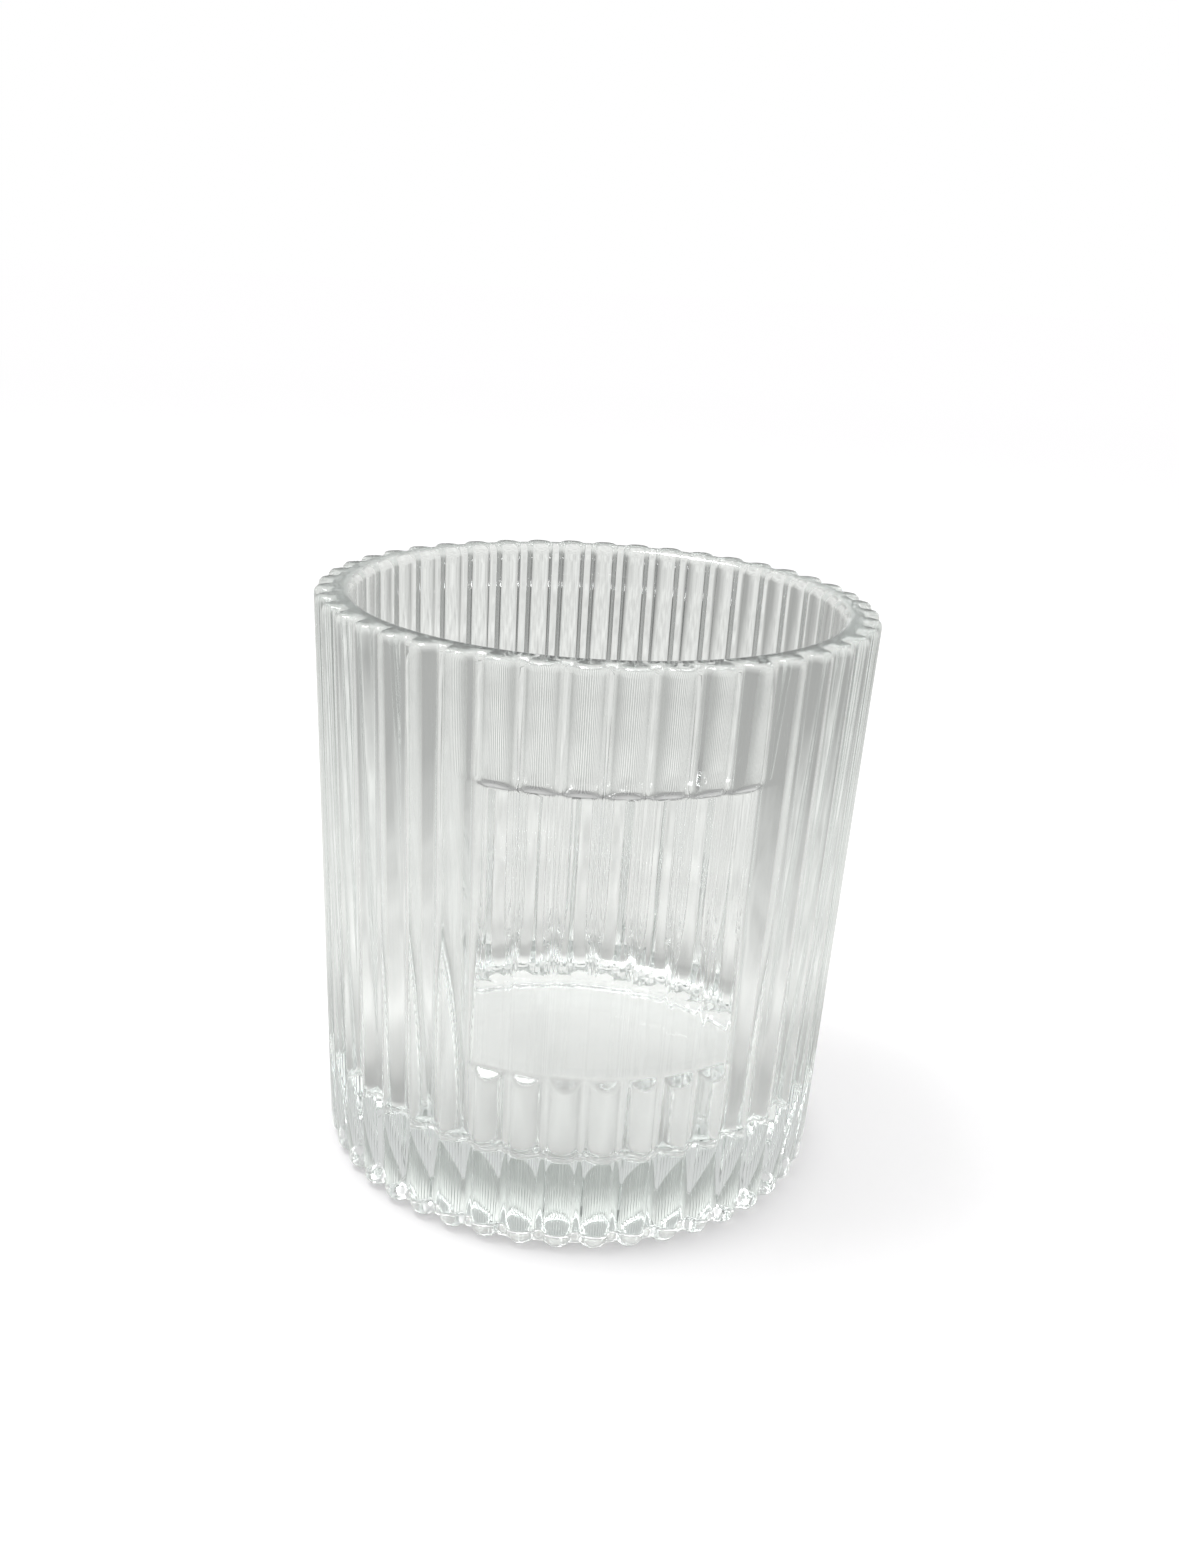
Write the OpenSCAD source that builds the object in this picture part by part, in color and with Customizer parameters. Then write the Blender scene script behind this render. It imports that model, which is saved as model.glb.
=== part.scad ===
/* [Body] */
// Height of the glass
height = 80; // [60:1:110]
// Outer radius over the ribs at the rim
rim_r = 38; // [32:0.5:48]
// Outer radius over the ribs at the base
base_r = 35.3; // [30:0.5:44]

/* [Wall and floor] */
// Thickness of the wall over the ribs at the rim
rim_wall = 5; // [4.6:0.1:7]
// Thickness of the wall over the ribs at floor level
floor_wall = 3.5; // [3:0.1:8]
// Thickness of glass under the floor
floor_t = 11.5; // [6:0.5:18]
// Radius of the corner between the floor and the inner wall
well_corner_r = 3.5; // [1.5:0.5:8]

/* [Ribs] */
// Number of ribs round the glass
rib_count = 44; // [36:1:48]
// Radius of the round face of a rib
rib_r = 2.1; // [1.9:0.1:3]
// Height of a rib over the valley beside it
rib_depth = 1.6; // [0.8:0.1:1.9]

/* [Window] */
// Number of ribs that the smooth window replaces
window_ribs = 7; // [3:1:11]
// Height of the window's lower edge over the base
window_low = 25.5; // [18:0.5:36]
// Distance from the rim down to the window's upper edge
window_drop = 16.5; // [8:0.5:26]
// Depth of the window's face under the valleys
window_sink = 0.2; // [0.1:0.1:0.8]
// Rise of each sloped ledge from the face to the rib tops
ledge_rise = 1.2; // [0.2:0.1:2]

/* [Lip and foot] */
// Rounding of the lip's outer edge
lip_outer_r = 1.2; // [0.5:0.1:2]
// Rounding of the lip's inner edge
lip_inner_r = 1.4; // [0.5:0.1:2]
// Rounding of the foot
foot_r = 1.5; // [1:0.1:3]
// Distance from the rib tops in to the hollow, which leaves the ring to stand on
ring_w = 4.2; // [4:0.2:14]
// Depth of the hollow under the base
hollow_depth = 1; // [0.4:0.1:3]

/* [Hidden] */
// Overrun of every cut past the face that it opens
overrun = 3;
round_fn = 180;
rib_fn = 48;
edge_fn = 48;
taper = atan((rim_r - base_r) / height);
pitch = 360 / rib_count;
window_angle = window_ribs * pitch;
window_high = height - window_drop;
window_depth = rib_depth + window_sink;
hollow_r = base_r - ring_w;
mouth_r = rim_r - rim_wall;

// Outer radius over the ribs at height z
function outer_r(z) = base_r + (rim_r - base_r) * z / height;
well_r = outer_r(floor_t) - floor_wall;
// Radius of the inner wall at height z
function inner_r(z) = well_r + (mouth_r - well_r) * (z - floor_t) / (height - floor_t);

// Smooth tapered core that the ribs stand on, rounded at the lip and the foot
module core() {
    difference() {
        cylinder(h = height, r1 = outer_r(0) - rib_depth, r2 = outer_r(height) - rib_depth, $fn = round_fn);
        lip_outer_cut(rib_depth);
        foot_cut(rib_depth);
    }
}

// One rib, a round bar that leans outward with the wall
module rib() {
    translate([base_r - rib_r, 0, 0])
        rotate([0, taper, 0])
            translate([0, 0, -overrun])
                cylinder(h = height / cos(taper) + 2 * overrun, r = rib_r, $fn = rib_fn);
}

// Ribs all round, with one on the window's centre line
module ribs() {
    for (i = [0 : rib_count - 1])
        rotate([0, 0, -90 + i * pitch]) rib();
}

// Space inside the glass, with a round corner above the floor
module well() {
    wall_lean = atan((mouth_r - well_r) / (height - floor_t));
    corner_z = floor_t + well_corner_r;
    corner_x = inner_r(corner_z) - well_corner_r / cos(wall_lean);
    rotate_extrude($fn = round_fn) {
        polygon([
            [0, floor_t],
            [corner_x, floor_t],
            [corner_x + well_corner_r * cos(wall_lean), corner_z - well_corner_r * sin(wall_lean)],
            [inner_r(height + overrun), height + overrun],
            [0, height + overrun],
        ]);
        intersection() {
            translate([corner_x, corner_z]) circle(r = well_corner_r, $fn = edge_fn);
            translate([corner_x, floor_t]) square([well_corner_r, well_corner_r]);
        }
    }
}

// Tool that takes the ribs off the window and leaves its smooth face
module window_cut() {
    face_low = outer_r(window_low) - window_depth;
    face_high = outer_r(window_high) - window_depth;
    reach = window_depth + overrun;
    slope = ledge_rise * reach / window_depth;
    rotate([0, 0, -90 - window_angle / 2])
        rotate_extrude(angle = window_angle, $fn = round_fn)
            polygon([
                [face_low, window_low],
                [face_high, window_high],
                [face_high + reach, window_high + slope],
                [face_low + reach, window_low - slope],
            ]);
}

// Ring that rounds the lip's outer edge at a depth under the rib tops
module lip_outer_cut(depth) {
    z = height - lip_outer_r;
    x = outer_r(z) - depth - lip_outer_r;
    rotate_extrude($fn = round_fn)
        difference() {
            translate([x, z]) square(lip_outer_r + depth + overrun);
            translate([x, z]) circle(r = lip_outer_r, $fn = edge_fn);
        }
}

// Ring that rounds the lip's inner edge
module lip_inner_cut() {
    z = height - lip_inner_r;
    x = inner_r(z) + lip_inner_r;
    rotate_extrude($fn = round_fn)
        difference() {
            translate([x - lip_inner_r - overrun, z]) square([lip_inner_r + overrun, lip_inner_r + overrun]);
            translate([x, z]) circle(r = lip_inner_r, $fn = edge_fn);
        }
}

// Ring that rounds the foot at a depth under the rib tops
module foot_cut(depth) {
    x = outer_r(foot_r) - depth - foot_r;
    rotate_extrude($fn = round_fn)
        difference() {
            translate([x, -overrun]) square([foot_r + depth + overrun, foot_r + overrun]);
            translate([x, foot_r]) circle(r = foot_r, $fn = edge_fn);
        }
}

// Shallow hollow under the base, which leaves a ring to stand on
module hollow() {
    translate([0, 0, -overrun])
        cylinder(h = overrun + hollow_depth, r1 = hollow_r + overrun, r2 = hollow_r - hollow_depth, $fn = round_fn);
}

// The glass: one pressed piece
module glass_body() {
    color([0.86, 0.9, 0.88, 0.5])
        difference() {
            intersection() {
                union() {
                    core();
                    ribs();
                }
                cylinder(h = height, r = rim_r + overrun, $fn = round_fn);
            }
            well();
            window_cut();
            lip_outer_cut(0);
            lip_inner_cut();
            foot_cut(0);
            hollow();
        }
}

glass_body();
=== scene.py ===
"""Chai glass: a clear pressed tumbler with ribs and a smooth window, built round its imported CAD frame."""

import math

import bpy
from mathutils import Matrix, Vector


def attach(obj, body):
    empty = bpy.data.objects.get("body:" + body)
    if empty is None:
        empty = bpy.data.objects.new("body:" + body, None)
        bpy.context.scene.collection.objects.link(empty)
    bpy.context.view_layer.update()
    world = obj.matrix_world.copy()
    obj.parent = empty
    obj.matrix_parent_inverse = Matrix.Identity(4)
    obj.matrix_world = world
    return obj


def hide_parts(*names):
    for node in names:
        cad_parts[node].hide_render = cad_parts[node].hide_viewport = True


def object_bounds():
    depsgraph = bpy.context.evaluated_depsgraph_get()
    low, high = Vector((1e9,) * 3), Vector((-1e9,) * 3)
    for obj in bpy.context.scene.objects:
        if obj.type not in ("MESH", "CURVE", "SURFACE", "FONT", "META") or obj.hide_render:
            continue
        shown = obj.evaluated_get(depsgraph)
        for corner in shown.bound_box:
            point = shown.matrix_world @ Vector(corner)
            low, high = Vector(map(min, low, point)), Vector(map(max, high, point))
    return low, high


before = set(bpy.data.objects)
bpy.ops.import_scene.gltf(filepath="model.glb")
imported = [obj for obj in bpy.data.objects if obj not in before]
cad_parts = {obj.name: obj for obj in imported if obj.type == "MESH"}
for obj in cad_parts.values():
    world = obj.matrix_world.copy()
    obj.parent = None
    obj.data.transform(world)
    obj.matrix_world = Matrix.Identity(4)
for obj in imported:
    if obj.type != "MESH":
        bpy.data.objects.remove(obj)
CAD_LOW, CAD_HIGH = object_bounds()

bl_info = {
    "name": "Chai glass",
    "version": (1, 0, 0),
    "blender": (4, 5, 0),
    "location": "View3D > Sidebar > Glass",
    "description": "Builds a ribbed pressed-glass tumbler and its studio",
    "category": "Add Mesh",
}

MM = 0.001
FULL_TURN = 2 * math.pi
WHITE = (1.0, 1.0, 1.0, 1.0)

# The crowded mesh rows of a ledge reach this far past its edges.
LEDGE_MARGIN = 0.5 * MM
# Stretches of the profile longer than this are cut; a fillet's own are shorter.
LONG_STRETCH = 0.8 * MM
# Softening where the hollow meets its floor and the ring.
HOLLOW_FLOOR_FILLET, HOLLOW_RING_FILLET = 1.0 * MM, 0.5 * MM
FILLET_STEPS = 10
# The window's upper ledge is this much softer than its lower one.
UPPER_LEDGE_EXTRA = 2.0
# Spacing of the mesh's columns against an even one: wider on a rib's crest, closer in its valleys.
CREST_SPREAD, VALLEY_SPREAD = 1.2, 0.76
# Slow ripple of the wall: scale of its noise round the glass and along its height.
RIPPLE_ROUND, RIPPLE_ALONG = 2.2, 45.0
# The inner wall ripples only between its round corner and its lip.
RIPPLE_OVER_FLOOR, RIPPLE_UNDER_LIP = 1.0 * MM, 2.0 * MM
# A surface whose direction rises or falls by less than this counts as wall, not lip or foot.
WALL_SLOPE = 0.2
# Differences in place that don't count, and points that are one.
HAIR, SAME_POINT = 0.001 * MM, 0.002 * MM

# Fine skin and smudges of the glass, as noise scales for each metre, and the bump's height.
SKIN_SCALE, SMUDGE_SCALE, SKIN_HEIGHT = 160.0, 45.0, 0.2 * MM
# Roughness where a smudge is: its threshold, how fast it grows, and the most.
HAZE_FROM, HAZE_RISE, HAZE_MOST = 0.55, 0.25, 0.05
# Upright mould marks: noise scales round and along the glass, where they start, how they grow,
# and their height.
MARK_ROUND, MARK_ALONG = 25.0, 12.0
MARK_FROM, MARK_FADE, MARK_HEIGHT = 25.0 * MM, 20.0 * MM, 0.1 * MM

# Camera of the perspective fit, in a frame turned by CAMERA_SWING about the glass's axis.
CAMERA_SWING = math.radians(-7.37)
CAMERA_PITCH, CAMERA_YAW, CAMERA_ROLL = 0.3336, -0.0011, 0.0606
CAMERA_PLACE = (0.0, -210.97 * MM, 127.22 * MM)
SENSOR_WIDTH = 36.0

# Reflected and refracted rays see the table as this much glow, and the rest as lit paper.
TABLE_GLOW = 0.75
# Their view of it is very slightly warm and green.
TABLE_TINT = (0.985, 1.0, 0.975)
# Width over which the bright table under the glass ends.
UNDER_FADE = 6.0 * MM
# Height on the sky over which the room's light changes.
ROOM_FADE = 0.2
# The table's own white has a touch less green.
PAPER_GREEN = 0.995
# The floor lies this far under the glass, so that their faces don't fight.
FLOOR_GAP = 0.05 * MM
# Light has to cross many faces in thick ribbed glass.
LIGHT_BOUNCES, GLOSSY_BOUNCES = 32, 16


class Flow:
    """A node socket that takes part in Python sums; each sum adds its Math node."""

    def __init__(self, tree, socket):
        self.tree = tree
        self.socket = socket

    def math(self, operation, *others):
        made = self.tree.nodes.new("ShaderNodeMath")
        made.operation = operation
        for place, value in enumerate((self, *others)):
            plug(self.tree, made.inputs[place], value)
        return Flow(self.tree, made.outputs[0])

    def flipped(self, operation, other):
        made = self.tree.nodes.new("ShaderNodeMath")
        made.operation = operation
        plug(self.tree, made.inputs[0], other)
        plug(self.tree, made.inputs[1], self)
        return Flow(self.tree, made.outputs[0])

    def __add__(self, other):
        return self.math("ADD", other)

    def __radd__(self, other):
        return self.flipped("ADD", other)

    def __sub__(self, other):
        return self.math("SUBTRACT", other)

    def __rsub__(self, other):
        return self.flipped("SUBTRACT", other)

    def __mul__(self, other):
        return self.math("MULTIPLY", other)

    def __rmul__(self, other):
        return self.flipped("MULTIPLY", other)

    def __truediv__(self, other):
        return self.math("DIVIDE", other)

    def __rtruediv__(self, other):
        return self.flipped("DIVIDE", other)

    def __neg__(self):
        return self.math("MULTIPLY", -1.0)

    def __gt__(self, other):
        return self.math("GREATER_THAN", other)

    def __lt__(self, other):
        return self.math("LESS_THAN", other)

    def clamp(self, low, high):
        return self.math("MAXIMUM", low).math("MINIMUM", high)


def plug(tree, socket, value):
    """Links a Flow to the socket, or sets the socket's own value."""
    if isinstance(value, Flow):
        tree.links.new(value.socket, socket)
    else:
        socket.default_value = value


class Board:
    """Adds nodes to one tree."""

    def __init__(self, tree):
        self.tree = tree

    def add(self, kind, settings=None, sockets=None, out=0):
        """Makes one node, sets its settings, plugs its sockets by name or number, and returns an output."""
        made = self.tree.nodes.new(kind)
        for name, value in (settings or {}).items():
            setattr(made, name, value)
        for name, value in (sockets or {}).items():
            plug(self.tree, made.inputs[name], value)
        self.last = made
        return Flow(self.tree, made.outputs[out])

    def point(self, x=0.0, y=0.0, z=0.0):
        """A vector from three numbers or links."""
        return self.add("ShaderNodeCombineXYZ", {}, {0: x, 1: y, 2: z})

    def parts(self, vector):
        """A vector's three numbers."""
        self.add("ShaderNodeSeparateXYZ", {}, {0: vector})
        return [Flow(self.tree, self.last.outputs[i]) for i in range(3)]

    def choose(self, data_type, values):
        """The value whose place in the list is the element's index."""
        made = self.tree.nodes.new("GeometryNodeIndexSwitch")
        made.data_type = data_type
        while len(made.index_switch_items) < len(values):
            made.index_switch_items.new()
        index = self.add("GeometryNodeInputIndex")
        self.tree.links.new(index.socket, made.inputs[0])
        for place, value in enumerate(values):
            plug(self.tree, made.inputs[place + 1], value)
        return Flow(self.tree, made.outputs[0])

    def keep(self, geometry, data_type, value, domain="POINT"):
        """Stores a field on the geometry under no name, and returns the geometry and the stored field."""
        made = self.tree.nodes.new("GeometryNodeCaptureAttribute")
        made.domain = domain
        made.capture_items.new(data_type, "Value")
        self.tree.links.new(geometry.socket, made.inputs[0])
        plug(self.tree, made.inputs[1], value)
        return Flow(self.tree, made.outputs[0]), Flow(self.tree, made.outputs[1])


# Inputs of the ribbed glass's tree: name, socket type, and the size that sets it.
BODY_INPUTS = (
    ("Height", "Float", "height"),
    ("Rim Radius", "Float", "rim_radius"),
    ("Base Radius", "Float", "base_radius"),
    ("Mouth Radius", "Float", "mouth_radius"),
    ("Well Radius", "Float", "well_radius"),
    ("Floor Thickness", "Float", "floor_thickness"),
    ("Well Corner", "Float", "well_corner"),
    ("Ribs", "Int", "ribs"),
    ("Rib Radius", "Float", "rib_radius"),
    ("Rib Depth", "Float", "rib_depth"),
    ("Lip Outer Round", "Float", "lip_outer_round"),
    ("Foot Round", "Float", "foot_round"),
    ("Lip Inner Round", "Float", "lip_inner_round"),
    ("Ring Width", "Float", "ring_width"),
    ("Hollow Depth", "Float", "hollow_depth"),
    ("Window Ribs", "Int", "window_ribs"),
    ("Window Low", "Float", "window_low"),
    ("Window High", "Float", "window_high"),
    ("Window Sink", "Float", "window_sink"),
    ("Ledge Rise", "Float", "ledge_rise"),
    ("Valley Fillet", "Float", "valley_fillet"),
    ("Ledge Fillet", "Float", "ledge_fillet"),
    ("Waviness", "Float", "waviness"),
    ("Columns per Rib", "Int", "columns"),
    ("Seed", "Float", "seed"),
)


def millimetres(label, value, description, least=0.0):
    """A length in metres whose default is given in millimetres."""
    return bpy.props.FloatProperty(
        name=label,
        description=description,
        default=value * MM,
        min=least,
        unit="LENGTH",
        precision=5,
    )


class GlassSizes(bpy.types.PropertyGroup):
    """Sizes of the pressed body."""

    height: bpy.props.FloatProperty(
        name="Height",
        description="Height from the table to the lip",
        default=CAD_HIGH.z - CAD_LOW.z,
        unit="LENGTH",
        precision=5,
    )
    rim_radius: millimetres("Rim radius", 38.0, "Outer radius over the ribs at the rim")
    base_radius: millimetres("Base radius", 35.3, "Outer radius over the ribs at the base")
    mouth_radius: millimetres("Mouth radius", 33.0, "Radius of the inner wall at the lip")
    well_radius: millimetres("Well radius", 32.19, "Radius of the inner wall at floor level")
    floor_thickness: millimetres("Floor thickness", 11.5, "Glass under the floor")
    well_corner: millimetres("Well corner", 3.5, "Radius between the floor and the inner wall")
    ribs: bpy.props.IntProperty(name="Ribs", description="Ribs round the glass", default=44, min=12)
    rib_radius: millimetres("Rib radius", 2.1, "Radius of a rib's round face")
    rib_depth: millimetres("Rib depth", 1.6, "Height of a rib over the valley beside it")
    lip_outer_round: millimetres("Outer lip round", 1.2, "Rounding of the core at the lip")
    foot_round: millimetres("Foot round", 1.5, "Rounding of the core at the foot")
    lip_inner_round: millimetres("Inner lip round", 1.4, "Rounding of the lip's inner edge")
    ring_width: millimetres("Ring width", 4.2, "Width of the ring that the glass stands on")
    hollow_depth: millimetres("Hollow depth", 1.0, "Depth of the hollow under the base")
    window_ribs: bpy.props.IntProperty(
        name="Window ribs", description="Ribs that the smooth window replaces", default=7, min=1
    )
    window_low: millimetres("Window low", 25.5, "Height of the window's lower edge")
    window_high: millimetres("Window high", 63.5, "Height of the window's upper edge")
    window_sink: millimetres("Window sink", 0.2, "Depth of the window's face under the valleys")
    ledge_rise: millimetres("Ledge rise", 1.2, "Rise of a ledge from the face to the rib tops")
    valley_fillet: millimetres("Valley fillet", 0.25, "Softening between a rib and its valley")
    ledge_fillet: millimetres("Ledge fillet", 0.6, "Softening of the window's edges")
    waviness: millimetres("Waviness", 0.01, "Height of the slow ripples that pressing leaves")
    columns: bpy.props.IntProperty(
        name="Columns", description="Mesh columns for each rib", default=16, min=6
    )
    seed: bpy.props.FloatProperty(name="Seed", description="Seed of the ripples", default=3.0)


class GlassFinish(bpy.types.PropertyGroup):
    """Finish of the glass."""

    tint: bpy.props.FloatVectorProperty(
        name="Tint", description="Colour of thick glass", subtype="COLOR", size=3, default=(0.76, 0.83, 0.8)
    )
    density: bpy.props.FloatProperty(
        name="Tint density", description="How fast thick glass takes its tint, per metre", default=8.0
    )
    refraction: bpy.props.FloatProperty(name="Refraction", description="Index of refraction", default=1.52)
    striae: bpy.props.FloatProperty(
        name="Striae", description="Strength of the upright mould marks", default=0.05
    )
    ripple: bpy.props.FloatProperty(
        name="Ripple", description="Strength of the fine skin of the glass", default=0.02
    )


class StudioSettings(bpy.types.PropertyGroup):
    """Light, floor and camera."""

    lens: bpy.props.FloatProperty(name="Lens", description="Focal length in millimetres", default=37.0)
    floor_size: bpy.props.FloatProperty(
        name="Floor", description="Side of the floor", default=6.0, unit="LENGTH"
    )
    room_plain: bpy.props.FloatProperty(name="Room", description="Plain light on the table", default=0.95)
    room_front: bpy.props.FloatProperty(
        name="Room front", description="Light from the camera's side", default=0.15
    )
    room_back: bpy.props.FloatProperty(
        name="Room back", description="Light from behind the glass", default=0.45
    )
    room_high: bpy.props.FloatProperty(
        name="Room high", description="Light from the walls' upper part", default=0.72
    )
    high_from: bpy.props.FloatProperty(
        name="High from", description="Height on the sky where it starts", default=0.3
    )
    room_top: bpy.props.FloatProperty(name="Room top", description="Light from straight above", default=1.3)
    top_from: bpy.props.FloatProperty(
        name="Top from", description="Height on the sky where it starts", default=0.75
    )
    # Painted light under the glass, on the grey table.
    under_level: bpy.props.FloatProperty(
        name="Under", description="Table's grey under the glass", default=0.87
    )
    under_slope: bpy.props.FloatProperty(
        name="Under slope", description="How fast the table under the glass brightens to the back", default=9.0
    )
    under_radius: bpy.props.FloatProperty(
        name="Under radius", description="Radius of the brightest table", default=0.038, unit="LENGTH"
    )
    # Painted shadow in a ring close round the glass, on the grey table.
    ring_level: bpy.props.FloatProperty(
        name="Ring", description="Table's grey close round the glass", default=0.5
    )
    ring_radius: bpy.props.FloatProperty(
        name="Ring radius", description="Outer radius of the greyer ring", default=0.05, unit="LENGTH"
    )
    ring_fade: bpy.props.FloatProperty(
        name="Ring fade", description="Width over which the greyer ring brightens", default=0.03, unit="LENGTH"
    )
    # Painted patches of light and shade on the grey table.
    patches: bpy.props.FloatProperty(
        name="Patches", description="Made-up unevenness of the grey table", default=0.7
    )
    patch_scale: bpy.props.FloatProperty(
        name="Patch scale", description="Patches for each metre", default=30.0
    )
    glow: bpy.props.FloatProperty(
        name="Glow", description="Share of the table's white that takes no shade", default=0.45
    )
    glow_from: bpy.props.FloatProperty(
        name="Glow from",
        description="Distance where the table starts to turn plain white",
        default=0.4,
        unit="LENGTH",
    )
    glow_fade: bpy.props.FloatProperty(
        name="Glow fade", description="Width over which it turns plain white", default=0.8, unit="LENGTH"
    )
    # Painted shade at the foot, on the white table.
    contact: bpy.props.FloatProperty(
        name="Contact", description="Strength of the shade at the foot", default=0.22
    )
    contact_radius: bpy.props.FloatProperty(
        name="Contact radius", description="Where the shade at the foot ends", default=0.041, unit="LENGTH"
    )
    contact_fade: bpy.props.FloatProperty(
        name="Contact fade", description="Width of the shade at the foot", default=0.008, unit="LENGTH"
    )
    # Painted pool of light on the grey table behind the glass, and the darker grey beyond it.
    table_level: bpy.props.FloatProperty(
        name="Table", description="Table's grey behind the glass", default=0.75
    )
    side_level: bpy.props.FloatProperty(name="Side", description="Grey beyond the lit table", default=0.4)
    # Painted shade on the grey table in front of the glass.
    shade_level: bpy.props.FloatProperty(
        name="Shade", description="Grey of the dark table in front of the glass", default=0.15
    )
    shade_place: bpy.props.FloatProperty(
        name="Shade place", description="Distance in front where the shade starts", default=0.25, unit="LENGTH"
    )
    shade_side: bpy.props.FloatProperty(
        name="Shade side", description="Half the shade's width", default=0.2, unit="LENGTH"
    )
    shade_fade: bpy.props.FloatProperty(
        name="Shade fade", description="Width of the shade's soft edge", default=0.15, unit="LENGTH"
    )
    lit_place: bpy.props.FloatProperty(
        name="Lit place",
        description="How far behind the glass the lit table's middle lies",
        default=0.3,
        unit="LENGTH",
    )
    lit_depth: bpy.props.FloatProperty(
        name="Lit depth", description="Half the lit table's depth, front to back", default=0.65, unit="LENGTH"
    )
    lit_side: bpy.props.FloatProperty(
        name="Lit side", description="Half the lit table's width", default=0.25, unit="LENGTH"
    )
    lit_fade: bpy.props.FloatProperty(
        name="Lit fade", description="Width of the lit table's soft edge", default=0.28, unit="LENGTH"
    )
    lamp_level: bpy.props.FloatProperty(
        name="Lamp", description="Brightness of the lamp's face", default=11.0
    )
    lamp_side: bpy.props.FloatProperty(
        name="Lamp side", description="Side of the lamp", default=0.24, unit="LENGTH"
    )
    lamp_place: bpy.props.FloatVectorProperty(
        name="Lamp place",
        description="Middle of the lamp",
        subtype="TRANSLATION",
        size=3,
        default=(-0.2, 0.02, 0.55),
    )


def body_tree():
    """Geometry Nodes tree of the whole body: a rounded profile swept round, with ribs raised outside."""
    tree = bpy.data.node_groups.new("ribbed_glass", "GeometryNodeTree")
    tree.interface.new_socket("Geometry", in_out="OUTPUT", socket_type="NodeSocketGeometry")
    for label, kind, _ in BODY_INPUTS:
        tree.interface.new_socket(label, in_out="INPUT", socket_type=f"NodeSocket{kind}")
    tree.interface.new_socket("Material", in_out="INPUT", socket_type="NodeSocketMaterial")
    board = Board(tree)
    group = tree.nodes.new("NodeGroupInput")
    size = {socket.name: Flow(tree, socket) for socket in group.outputs if socket.name}
    height, rim, base = size["Height"], size["Rim Radius"], size["Base Radius"]
    mouth, well, floor = size["Mouth Radius"], size["Well Radius"], size["Floor Thickness"]
    depth, rib_r = size["Rib Depth"], size["Rib Radius"]
    lip_round, foot_round = size["Lip Outer Round"], size["Foot Round"]
    low, high, rise = size["Window Low"], size["Window High"], size["Ledge Rise"]
    hollow = size["Hollow Depth"]
    lean = (rim - base) / height

    def outer(z):
        return base + lean * z

    def core(z):
        return outer(z) - depth

    def rounding(z):
        """Distance from the wall's spine to the core: the foot's rounding below, the lip's above."""
        climb = ((z - foot_round) / (height - foot_round - lip_round)).clamp(0.0, 1.0)
        return foot_round + (lip_round - foot_round) * climb

    hollow_r = base - size["Ring Width"]
    stations = (
        # place, fillet radius, cuts in the stretch that starts here
        (board.point(0.0, hollow), 0.0, 4),
        (board.point(hollow_r - hollow, hollow), HOLLOW_FLOOR_FILLET, 3),
        (board.point(hollow_r, 0.0), HOLLOW_RING_FILLET, 3),
        (board.point(base - depth, 0.0), foot_round, 8),
        (board.point(core(low - rise - LEDGE_MARGIN), low - rise - LEDGE_MARGIN), 0.0, 9),
        (board.point(core(low + LEDGE_MARGIN), low + LEDGE_MARGIN), 0.0, 10),
        (board.point(core(high - LEDGE_MARGIN), high - LEDGE_MARGIN), 0.0, 9),
        (board.point(core(high + rise + LEDGE_MARGIN), high + rise + LEDGE_MARGIN), 0.0, 5),
        (board.point(core(height), height), lip_round, 1),
        (board.point(mouth, height), size["Lip Inner Round"], 15),
        (board.point(well, floor), size["Well Corner"], 6),
        (board.point(0.0, floor), 0.0, 0),
    )
    line = board.add("GeometryNodeMeshLine", {}, {"Count": len(stations)})
    line = board.add(
        "GeometryNodeSetPosition",
        {},
        {"Geometry": line, "Position": board.choose("VECTOR", [place for place, _, _ in stations])},
    )
    line, fillet = board.keep(line, "FLOAT", board.choose("FLOAT", [radius for _, radius, _ in stations]))
    line, cuts = board.keep(line, "INT", board.choose("INT", [count for _, _, count in stations]))
    profile = board.add("GeometryNodeMeshToCurve", {}, {"Mesh": line})
    profile = board.add(
        "GeometryNodeFilletCurve",
        {"mode": "POLY"},
        {"Curve": profile, "Count": FILLET_STEPS, "Radius": fillet, "Limit Radius": True},
    )
    here = board.add("GeometryNodeInputPosition")
    index = board.add("GeometryNodeInputIndex")
    ahead = board.add(
        "GeometryNodeSampleIndex",
        {"data_type": "FLOAT_VECTOR", "domain": "POINT", "clamp": True},
        {"Geometry": profile, "Value": here, "Index": index + 1},
    )
    gap = board.add("ShaderNodeVectorMath", {"operation": "DISTANCE"}, {0: here, 1: ahead}, out="Value")
    long_stretch = gap > LONG_STRETCH
    profile = board.add("GeometryNodeSubdivideCurve", {}, {"Curve": profile, "Cuts": cuts * long_stretch})

    r, z, _ = board.parts(here)
    spine_z = z.math("MAXIMUM", foot_round).math("MINIMUM", height - lip_round)
    spine_r = core(spine_z) - rounding(spine_z)
    outside = r > spine_r + HAIR
    across, up = r - spine_r, z - spine_z
    reach = (across * across + up * up).math("SQRT")
    profile, seat = board.keep(profile, "VECTOR", board.point(spine_r, spine_z, reach))
    profile, aim = board.keep(profile, "VECTOR", board.point(across / reach, up / reach, outside))
    profile, plain = board.keep(profile, "VECTOR", here)

    columns = size["Ribs"] * size["Columns per Rib"]
    circle = {"Resolution": columns, "Radius": 1.0}
    ring = board.add("GeometryNodeCurvePrimitiveCircle", {"mode": "RADIUS"}, circle)
    ring, place = board.keep(ring, "FLOAT", index * 1.0)
    swept = {"Curve": ring, "Profile Curve": profile, "Fill Caps": False}
    body = board.add("GeometryNodeCurveToMesh", {}, swept)

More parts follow.
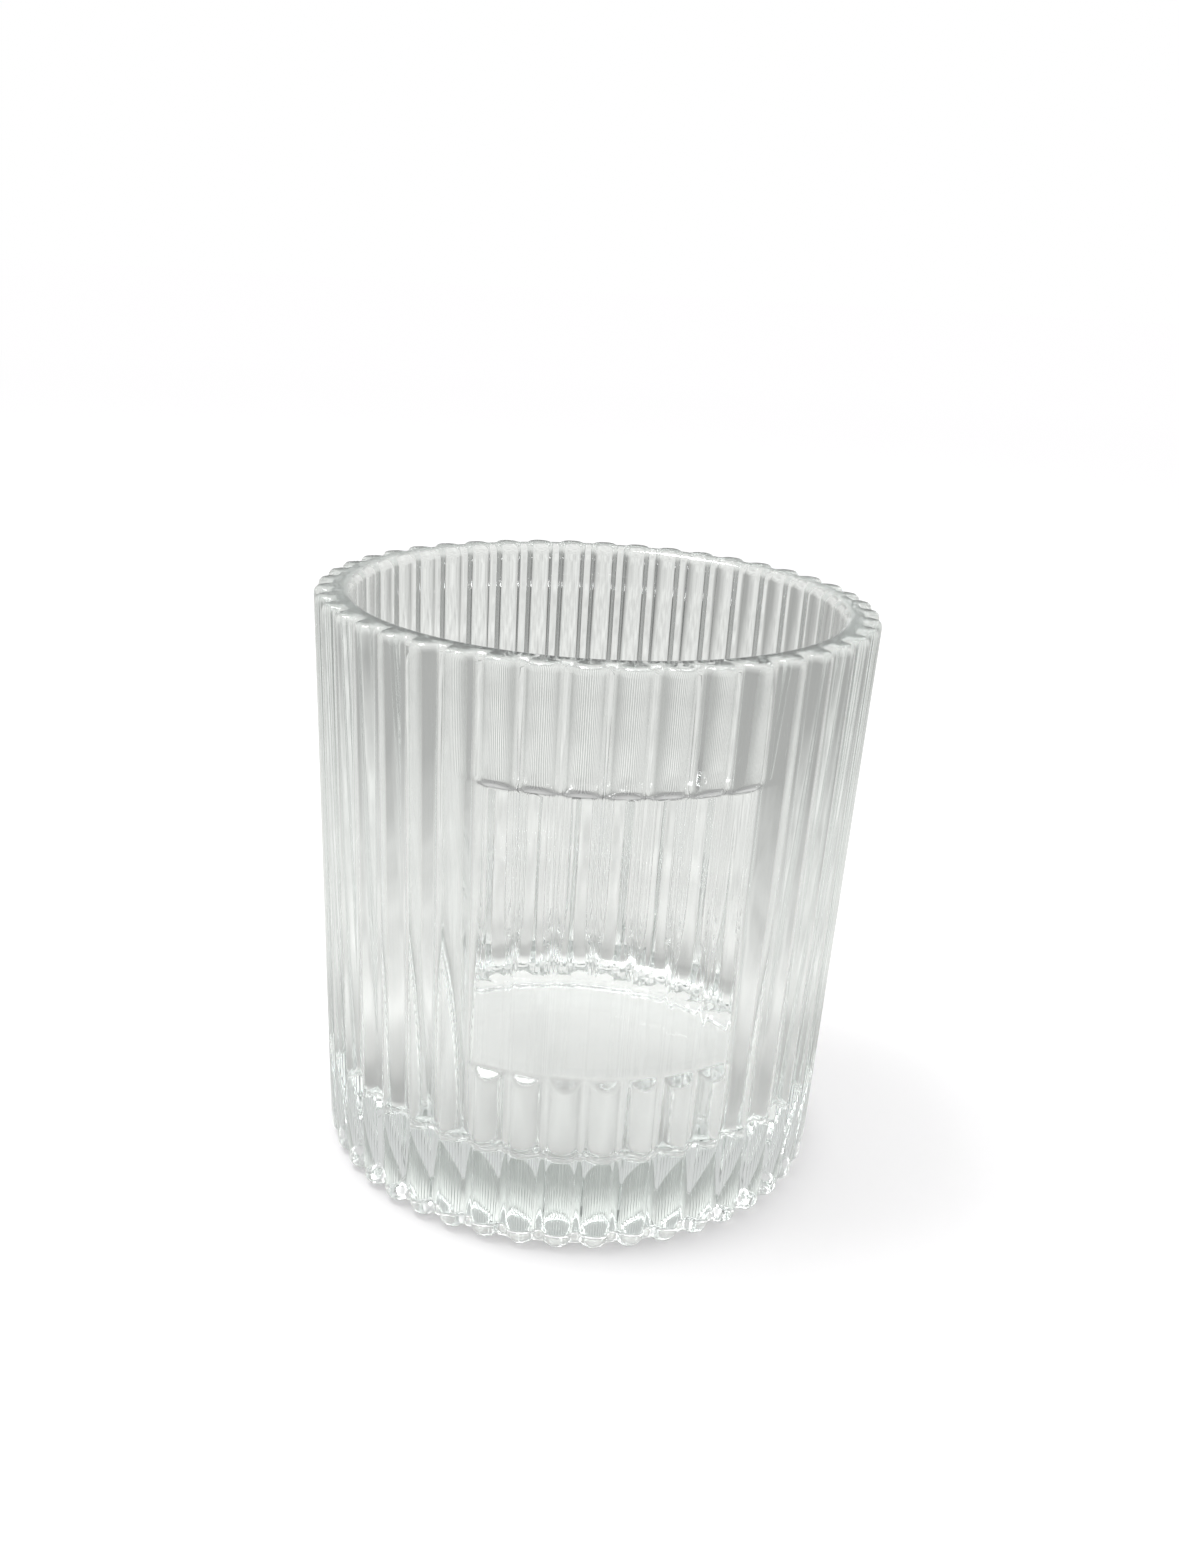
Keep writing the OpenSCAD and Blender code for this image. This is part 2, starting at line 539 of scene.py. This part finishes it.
    # Columns crowd towards the valleys, where the surface turns fastest.
    step = place / size["Columns per Rib"]
    nearest = step.math("ROUND")
    offset = step - nearest
    side = offset.math("SIGN")
    even = offset.math("ABSOLUTE")
    crowded = (even * CREST_SPREAD).math("MINIMUM", 0.5 - (0.5 - even) * VALLEY_SPREAD)
    pitch = FULL_TURN / size["Ribs"]
    turn = crowded * side * pitch
    angle = nearest * pitch + turn

    # Distance from the core's spine, along the surface's own direction, out to a round-ended bar.
    spine_r, spine_z, reach = board.parts(seat)
    aim_r, aim_z, outside = board.parts(aim)
    bar_z = spine_z.math("MAXIMUM", rib_r)
    bar_r = outer(bar_z) - rib_r
    cos_turn, sin_turn = turn.math("COSINE"), turn.math("SINE")
    to_x, to_y, to_z = bar_r - spine_r * cos_turn, -1.0 * spine_r * sin_turn, bar_z - spine_z
    along = aim_r * cos_turn * to_x + aim_r * sin_turn * to_y + aim_z * to_z
    miss = to_x * to_x + to_y * to_y + to_z * to_z - rib_r * rib_r
    bar = along + (along * along - miss).math("MAXIMUM", 0.0).math("SQRT")
    top = (height - spine_z) / aim_z.math("MAXIMUM", 0.001)
    bar = bar.math("SMOOTH_MIN", top, size["Lip Outer Round"])
    ribbed = reach.math("SMOOTH_MAX", bar, size["Valley Fillet"])

    # The window's face, ledges and sides hold the surface back.
    sunk = depth + size["Window Sink"]
    centred = ((angle / FULL_TURN + 0.5).math("FRACT") - 0.5).math("ABSOLUTE") * FULL_TURN
    past_side = (centred - size["Window Ribs"] * pitch * 0.5) * spine_r
    wall_z = spine_z + aim_z * reach
    past = (low - wall_z).math("MAXIMUM", wall_z - high) / rise
    past = past.math("MAXIMUM", past_side / rise).math("MAXIMUM", 0.0)
    held = rounding(spine_z) + depth - sunk + past * sunk
    softness = size["Ledge Fillet"] * (1.0 + UPPER_LEDGE_EXTRA * (wall_z > (low + high) * 0.5))
    shaped = ribbed.math("SMOOTH_MIN", held, softness)

    plain_r, plain_z, _ = board.parts(plain)
    sine, cosine = angle.math("SINE"), angle.math("COSINE")
    spot = board.point(sine * RIPPLE_ROUND, cosine * RIPPLE_ROUND, plain_z * RIPPLE_ALONG)
    wave = board.add(
        "ShaderNodeTexNoise",
        {"noise_dimensions": "4D"},
        {"Vector": spot, "W": size["Seed"], "Scale": 1.0, "Detail": 1.0},
    )
    ripple = (wave - 0.5) * size["Waviness"] * 2.0
    inside = (1.0 - outside) * (plain_z > floor + RIPPLE_OVER_FLOOR) * (plain_z < height - RIPPLE_UNDER_LIP)
    distance = shaped + ripple.math("MINIMUM", 0.0) * (aim_z.math("ABSOLUTE") < WALL_SLOPE)
    new_r = (spine_r + aim_r * distance) * outside + plain_r * (1.0 - outside) + ripple * inside
    new_z = (spine_z + aim_z * distance) * outside + plain_z * (1.0 - outside)
    place = board.point(new_r * sine, -1.0 * new_r * cosine, new_z)
    body = board.add("GeometryNodeSetPosition", {}, {"Geometry": body, "Position": place})
    body = board.add("GeometryNodeMergeByDistance", {}, {"Geometry": body, "Distance": SAME_POINT})
    body = board.add("GeometryNodeFlipFaces", {}, {"Mesh": body})
    body = board.add("GeometryNodeSetShadeSmooth", {}, {"Geometry": body, "Shade Smooth": True})
    body = board.add("GeometryNodeRealizeInstances", {}, {"Geometry": body})
    body = board.add("GeometryNodeSetMaterial", {}, {"Geometry": body, "Material": size["Material"]})
    out = tree.nodes.new("NodeGroupOutput")
    tree.links.new(body.socket, out.inputs[0])
    return tree


def clear_glass(finish):
    """Clear pressed soda glass: smooth, faintly rippled, with a grey-green tint where it is thick."""
    material = bpy.data.materials.new("clear_glass")
    material.use_nodes = True
    tree = material.node_tree
    tree.nodes.clear()
    board = Board(tree)
    place = board.add("ShaderNodeTexCoord", out="Object")
    skin = board.add(
        "ShaderNodeTexNoise", {}, {"Vector": place, "Scale": SKIN_SCALE, "Detail": 2.0, "Roughness": 0.5}
    )
    smudge = board.add(
        "ShaderNodeTexNoise", {}, {"Vector": place, "Scale": SMUDGE_SCALE, "Detail": 4.0, "Roughness": 0.6}
    )
    haze = ((smudge - HAZE_FROM) * HAZE_RISE).clamp(0.0, HAZE_MOST)
    bump = board.add(
        "ShaderNodeBump", {}, {"Height": skin, "Strength": finish.ripple, "Distance": SKIN_HEIGHT}
    )
    x, y, z = board.parts(place)
    round_about = MARK_ROUND / (x * x + y * y).math("SQRT").math("MAXIMUM", MM)
    spot = board.point(x * round_about, y * round_about, z * MARK_ALONG)
    drawn = board.add("ShaderNodeTexNoise", {}, {"Vector": spot, "Scale": 1.0, "Detail": 0.0})
    upper = ((z - MARK_FROM) / MARK_FADE).clamp(0.0, 1.0)
    marks = {"Height": drawn * upper, "Strength": finish.striae, "Distance": MARK_HEIGHT, "Normal": bump}
    bump = board.add("ShaderNodeBump", {}, marks)
    glass = board.add(
        "ShaderNodeBsdfPrincipled",
        {},
        {
            "Base Color": WHITE,
            "Roughness": haze,
            "IOR": finish.refraction,
            "Transmission Weight": 1.0,
            "Normal": bump,
        },
    )
    body = board.add(
        "ShaderNodeVolumeAbsorption", {}, {"Color": (*finish.tint, 1.0), "Density": finish.density}
    )
    out = tree.nodes.new("ShaderNodeOutputMaterial")
    tree.links.new(glass.socket, out.inputs["Surface"])
    tree.links.new(body.socket, out.inputs["Volume"])
    return material


def applied(obj):
    """Turns the object's evaluated mesh into its own plain mesh, and removes the modifiers."""
    graph = bpy.context.evaluated_depsgraph_get()
    mesh = bpy.data.meshes.new_from_object(obj.evaluated_get(graph))
    mesh.name = obj.name
    obj.modifiers.clear()
    obj.data = mesh
    return obj


class GLASS_OT_body(bpy.types.Operator):
    """Makes the pressed body with its ribs, window, lip, foot and well"""

    bl_idname = "glass.body"
    bl_label = "Pressed body"

    def execute(self, context):
        sizes = context.scene.glass_sizes
        material = clear_glass(context.scene.glass_finish)
        tree = body_tree()
        body = bpy.data.objects.new("pressed_body", bpy.data.meshes.new("pressed_body"))
        context.scene.collection.objects.link(body)
        modifier = body.modifiers.new("Ribbed glass", "NODES")
        modifier.node_group = tree
        sockets = {item.name: item.identifier for item in tree.interface.items_tree if item.in_out == "INPUT"}
        for label, _, source in BODY_INPUTS:
            modifier[sockets[label]] = getattr(sizes, source)
        modifier[sockets["Material"]] = material
        context.view_layer.update()
        applied(body)
        print("PRESSED BODY", len(body.data.vertices), "points", len(body.data.polygons), "faces")
        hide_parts("glass_body")
        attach(body, "root")
        return {"FINISHED"}


def lamp(name, power, size, place, target):
    """A soft rectangular lamp that faces a point."""
    data = bpy.data.lights.new(name, "AREA")
    data.shape = "RECTANGLE"
    data.size, data.size_y = size
    data.energy = power
    obj = bpy.data.objects.new(name, data)
    obj.location = place
    obj.rotation_euler = (Vector(target) - Vector(place)).to_track_quat("-Z", "Y").to_euler()
    bpy.context.scene.collection.objects.link(obj)
    return obj


def backdrop_seen(board):
    """1 for rays from the camera, and for reflected and refracted ones."""
    board.add("ShaderNodeLightPath")
    rays = {socket.name: Flow(board.tree, socket) for socket in board.last.outputs}
    return rays["Is Camera Ray"], rays["Is Glossy Ray"].math("MAXIMUM", rays["Is Transmission Ray"])


def pale_floor(settings):
    """White table top that keeps a soft shadow, with a painted shade at its foot, and turns plain white far
    off.

    Reflected and refracted rays see another, grey table that glows, with painted light and shade to bring out
    the glass's greys: bright with painted light under it, greyer with a painted shadow in the ring close round
    it, pale with a painted pool of light behind it, and dark with painted shade to the sides and in front.
    """
    material = bpy.data.materials.new("pale_floor")
    material.use_nodes = True
    tree = material.node_tree
    tree.nodes.clear()
    board = Board(tree)
    camera, bent = backdrop_seen(board)
    place = board.add("ShaderNodeTexCoord", out="Object")
    x, y, _ = board.parts(place)
    away = (x * x + y * y).math("SQRT")
    # Painted shadow: the grey table is darker in a ring close round the glass.
    clear = ((away - settings.ring_radius) / settings.ring_fade).clamp(0.0, 1.0)
    table = settings.ring_level + clear * (settings.table_level - settings.ring_level)
    # Painted light: the grey table under the glass is bright, and brighter towards the back.
    under = (1.0 - (away - settings.under_radius) / UNDER_FADE).clamp(0.0, 1.0)
    table = table + under * (settings.under_level * (1.0 + y * settings.under_slope) - table)
    # Painted patches of light and shade on the grey table, from noise.
    patch = {"Vector": place, "Scale": settings.patch_scale, "Detail": 2.0}
    uneven = board.add("ShaderNodeTexNoise", {}, patch)
    table = table + (uneven - 0.5) * settings.patches
    # Painted pool of light behind the glass; beyond it the grey table falls to the side level.
    behind, aside = y - settings.lit_place, x * (settings.lit_depth / settings.lit_side)
    inward = settings.lit_depth - (aside * aside + behind * behind).math("SQRT")
    lit = (inward / settings.lit_fade).clamp(0.0, 1.0)
    table = settings.side_level + lit * (table - settings.side_level)
    # Painted shade on the grey table in front of the glass.
    front = (-(y + settings.shade_place) / settings.shade_fade).clamp(0.0, 1.0)
    front = front * (1.0 - (x.math("ABSOLUTE") - settings.shade_side) / settings.shade_fade).clamp(0.0, 1.0)
    table = table + front * (settings.shade_level - table)
    shade = board.add("ShaderNodeCombineColor", {}, {i: table * part for i, part in enumerate(TABLE_TINT)})
    # Painted shade at the foot: the table's white is darkened close round the glass.
    contact = ((settings.contact_radius - away) / settings.contact_fade).clamp(0.0, 1.0)
    paper_and_foot_shade = 1.0 - contact * contact * settings.contact
    paper_and_foot_shade = board.add("ShaderNodeCombineColor", {}, {0: paper_and_foot_shade, 1: paper_and_foot_shade * PAPER_GREEN, 2: paper_and_foot_shade})
    white = board.add("ShaderNodeBsdfDiffuse", {}, {"Color": paper_and_foot_shade})
    grey = board.add("ShaderNodeBsdfDiffuse", {}, {"Color": shade})
    glow = board.add("ShaderNodeEmission", {}, {"Color": paper_and_foot_shade, "Strength": 1.0})
    # The grey table glows with its painted light and shade, for reflected and refracted rays.
    grey_glow = board.add("ShaderNodeEmission", {}, {"Color": shade, "Strength": 1.0})
    grey = board.add("ShaderNodeMixShader", {}, {0: TABLE_GLOW, 1: grey, 2: grey_glow})
    far = ((away - settings.glow_from) / settings.glow_fade).clamp(0.0, 1.0)
    unshaded = settings.glow + far * (1.0 - settings.glow)
    white = board.add("ShaderNodeMixShader", {}, {0: camera * unshaded, 1: white, 2: glow})
    mixed = board.add("ShaderNodeMixShader", {}, {0: bent, 1: white, 2: grey})
    out = tree.nodes.new("ShaderNodeOutputMaterial")
    tree.links.new(mixed.socket, out.inputs["Surface"])
    return material


def room_light(settings):
    """Soft room, and a white backdrop to the camera.

    Reflected and refracted rays see another room too: dim walls, paler higher up and behind the glass, under a
    bright ceiling.
    """
    world = bpy.data.worlds.new("studio")
    bpy.context.scene.world = world
    world.use_nodes = True
    tree = world.node_tree
    tree.nodes.clear()
    board = Board(tree)
    camera, bent = backdrop_seen(board)
    _, y, z = board.parts(board.add("ShaderNodeTexCoord", out="Generated"))
    back = (y * 0.5 + 0.5).clamp(0.0, 1.0)
    up = z.clamp(0.0, 1.0)
    level = settings.room_front + (settings.room_back - settings.room_front) * back
    upper = ((up - settings.high_from) / ROOM_FADE).clamp(0.0, 1.0)
    overhead = ((up - settings.top_from) / ROOM_FADE).clamp(0.0, 1.0)
    level = level + upper * (settings.room_high - level)
    level = level + overhead * (settings.room_top - level)
    level = settings.room_plain + bent * (level - settings.room_plain)
    light = board.add("ShaderNodeBackground", {}, {"Color": WHITE, "Strength": level})
    white = board.add("ShaderNodeBackground", {}, {"Color": WHITE, "Strength": 1.0})
    mixed = board.add("ShaderNodeMixShader", {}, {0: camera, 1: light, 2: white})
    out = tree.nodes.new("ShaderNodeOutputWorld")
    tree.links.new(mixed.socket, out.inputs["Surface"])
    return world


def make_camera(lens):
    """Camera at the photograph's viewing angle."""
    pitch, yaw, roll = CAMERA_PITCH, CAMERA_YAW, CAMERA_ROLL
    forward = Vector((-math.sin(yaw) * math.cos(pitch), math.cos(yaw) * math.cos(pitch), -math.sin(pitch)))
    right = Vector((math.cos(yaw), math.sin(yaw), 0.0))
    above = right.cross(forward)
    tilted_right = math.cos(roll) * right + math.sin(roll) * above
    tilted_above = -math.sin(roll) * right + math.cos(roll) * above
    turn = Matrix.Rotation(CAMERA_SWING, 3, "Z")
    axes = [turn @ v for v in (tilted_right, tilted_above, -forward)]
    data = bpy.data.cameras.new("camera")
    data.lens = lens
    data.sensor_width = SENSOR_WIDTH
    data.clip_start = 0.01
    obj = bpy.data.objects.new("camera", data)
    place = turn @ Vector(CAMERA_PLACE)
    obj.matrix_world = Matrix.Translation(place) @ Matrix(axes).transposed().to_4x4()
    bpy.context.scene.collection.objects.link(obj)
    bpy.context.scene.camera = obj
    return obj


class GLASS_OT_studio(bpy.types.Operator):
    """Makes the floor, the room's light, the lamp and the camera"""

    bl_idname = "glass.studio"
    bl_label = "Studio"

    def execute(self, context):
        settings = context.scene.glass_studio
        half = settings.floor_size / 2
        mesh = bpy.data.meshes.new("floor")
        corners = ((-half, -half), (half, -half), (half, half), (-half, half))
        mesh.from_pydata([(x, y, -FLOOR_GAP) for x, y in corners], [], [(0, 1, 2, 3)])
        mesh.materials.append(pale_floor(settings))
        floor = bpy.data.objects.new("floor", mesh)
        context.scene.collection.objects.link(floor)
        room_light(settings)
        side = settings.lamp_side
        power = settings.lamp_level * math.pi * side * side
        lamp("key", power, (side, side), settings.lamp_place, (0.0, 0.0, 0.04))
        make_camera(settings.lens)
        context.scene.view_settings.view_transform = "Standard"
        context.scene.cycles.max_bounces = LIGHT_BOUNCES
        context.scene.cycles.transmission_bounces = LIGHT_BOUNCES
        context.scene.cycles.glossy_bounces = GLOSSY_BOUNCES
        return {"FINISHED"}


class GLASS_PT_panel(bpy.types.Panel):
    """Lists the glass's makers and sizes"""

    bl_idname = "GLASS_PT_panel"
    bl_label = "Chai glass"
    bl_space_type = "VIEW_3D"
    bl_region_type = "UI"
    bl_category = "Glass"

    def draw(self, context):
        for name in ("glass_sizes", "glass_finish", "glass_studio"):
            box = self.layout.box()
            group = getattr(context.scene, name)
            for prop in group.bl_rna.properties:
                if prop.identifier not in ("rna_type", "name"):
                    box.prop(group, prop.identifier)
        self.layout.operator(GLASS_OT_body.bl_idname)
        self.layout.operator(GLASS_OT_studio.bl_idname)


CLASSES = (GlassSizes, GlassFinish, StudioSettings, GLASS_OT_body, GLASS_OT_studio, GLASS_PT_panel)
GROUPS = {"glass_sizes": GlassSizes, "glass_finish": GlassFinish, "glass_studio": StudioSettings}


def register():
    for cls in CLASSES:
        bpy.utils.register_class(cls)
    for name, group in GROUPS.items():
        setattr(bpy.types.Scene, name, bpy.props.PointerProperty(type=group))


def unregister():
    for name in GROUPS:
        delattr(bpy.types.Scene, name)
    for cls in reversed(CLASSES):
        bpy.utils.unregister_class(cls)


def main():
    register()
    bpy.ops.glass.body()
    bpy.ops.glass.studio()


if __name__ == "__main__":
    main()
